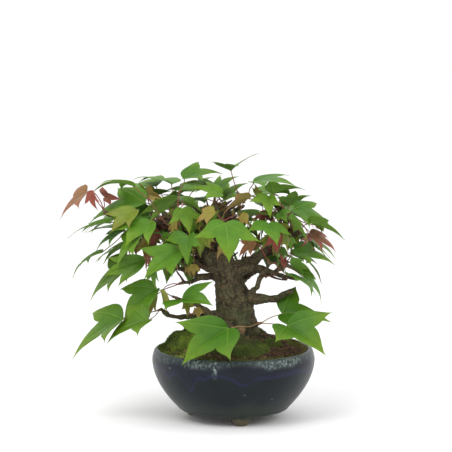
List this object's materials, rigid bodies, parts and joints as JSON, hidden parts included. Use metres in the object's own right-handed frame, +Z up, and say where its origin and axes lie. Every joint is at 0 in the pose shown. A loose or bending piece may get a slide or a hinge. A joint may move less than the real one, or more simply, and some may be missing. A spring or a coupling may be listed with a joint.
{
  "type": "potted bonsai maple tree",
  "caption": "Small trident maple bonsai with a thick tapering trunk and three-lobed leaves, in a round incurved glazed pot on short feet, with mossy soil.",
  "frame": {"origin": "bottom centre of the whole plant's bounding box, in the plane that the pot's feet stand on", "axes": "+Z up, the tree's front towards -Y, +X to the right seen from the front"},
  "size_m": [0.2134, 0.1528, 0.1988],
  "materials": {
    "glaze": "gloss",
    "mesh": "matte",
    "wire": "satin",
    "soil": "matte",
    "moss": "matte",
    "bark": "matte",
    "leaf_green": "satin",
    "leaf_dark": "satin",
    "leaf_olive": "satin",
    "leaf_red": "satin"
  },
  "bodies": {
    "root": {"drain_mesh": "mesh", "leaf_crown_top": "leaf_green", "leaf_front_centre": "leaf_green", "leaf_front_flushed": "leaf_red", "leaf_front_right": "leaf_dark", "leaf_front_upper_left": "leaf_green", "leaf_left_centre": "leaf_dark", "leaf_left_drooping": "leaf_dark", "leaf_left_flushed": "leaf_red", "leaf_left_low_dark": "leaf_dark", "leaf_left_mid_far": "leaf_green", "leaf_low_arched": "leaf_dark", "mesh_wire": "wire", "moss_back": "moss", "moss_front": "moss", "moss_left": "moss", "moss_right": "moss", "moss_right_rim": "moss", "pot": "glaze", "shoot_back_1": "leaf_green", "shoot_back_10": "leaf_green", "shoot_back_11": "leaf_dark", "shoot_back_12": "leaf_dark", "shoot_back_13": "leaf_green", "shoot_back_14": "leaf_dark", "shoot_back_15": "leaf_dark", "shoot_back_2": "leaf_dark", "shoot_back_3": "leaf_dark", "shoot_back_4": "leaf_green", "shoot_back_5": "leaf_dark", "shoot_back_6": "leaf_dark", "shoot_back_7": "leaf_green", "shoot_back_8": "leaf_dark", "shoot_back_9": "leaf_dark", "shoot_crown_fan": "leaf_green", "shoot_crown_front": "leaf_dark", "shoot_crown_left": "leaf_green", "shoot_crown_middle": "leaf_olive", "shoot_front_pair": "leaf_olive", "shoot_front_small": "leaf_olive", "shoot_inner_young": "leaf_olive", "shoot_left_mid": "leaf_green", "shoot_left_narrow": "leaf_olive", "shoot_left_upper": "leaf_green", "shoot_left_wide": "leaf_green", "shoot_low_front": "leaf_green", "shoot_low_left": "leaf_green", "shoot_low_olive": "leaf_olive", "shoot_olive_tip": "leaf_olive", "shoot_red_tip": "leaf_red", "shoot_right_crown": "leaf_green", "shoot_right_low": "leaf_green", "shoot_right_mid": "leaf_dark", "shoot_right_upper": "leaf_green", "shoot_right_young": "leaf_red", "shoot_upper_left": "leaf_green", "soil": "soil", "wood": "bark"}
  },
  "joints": []
}
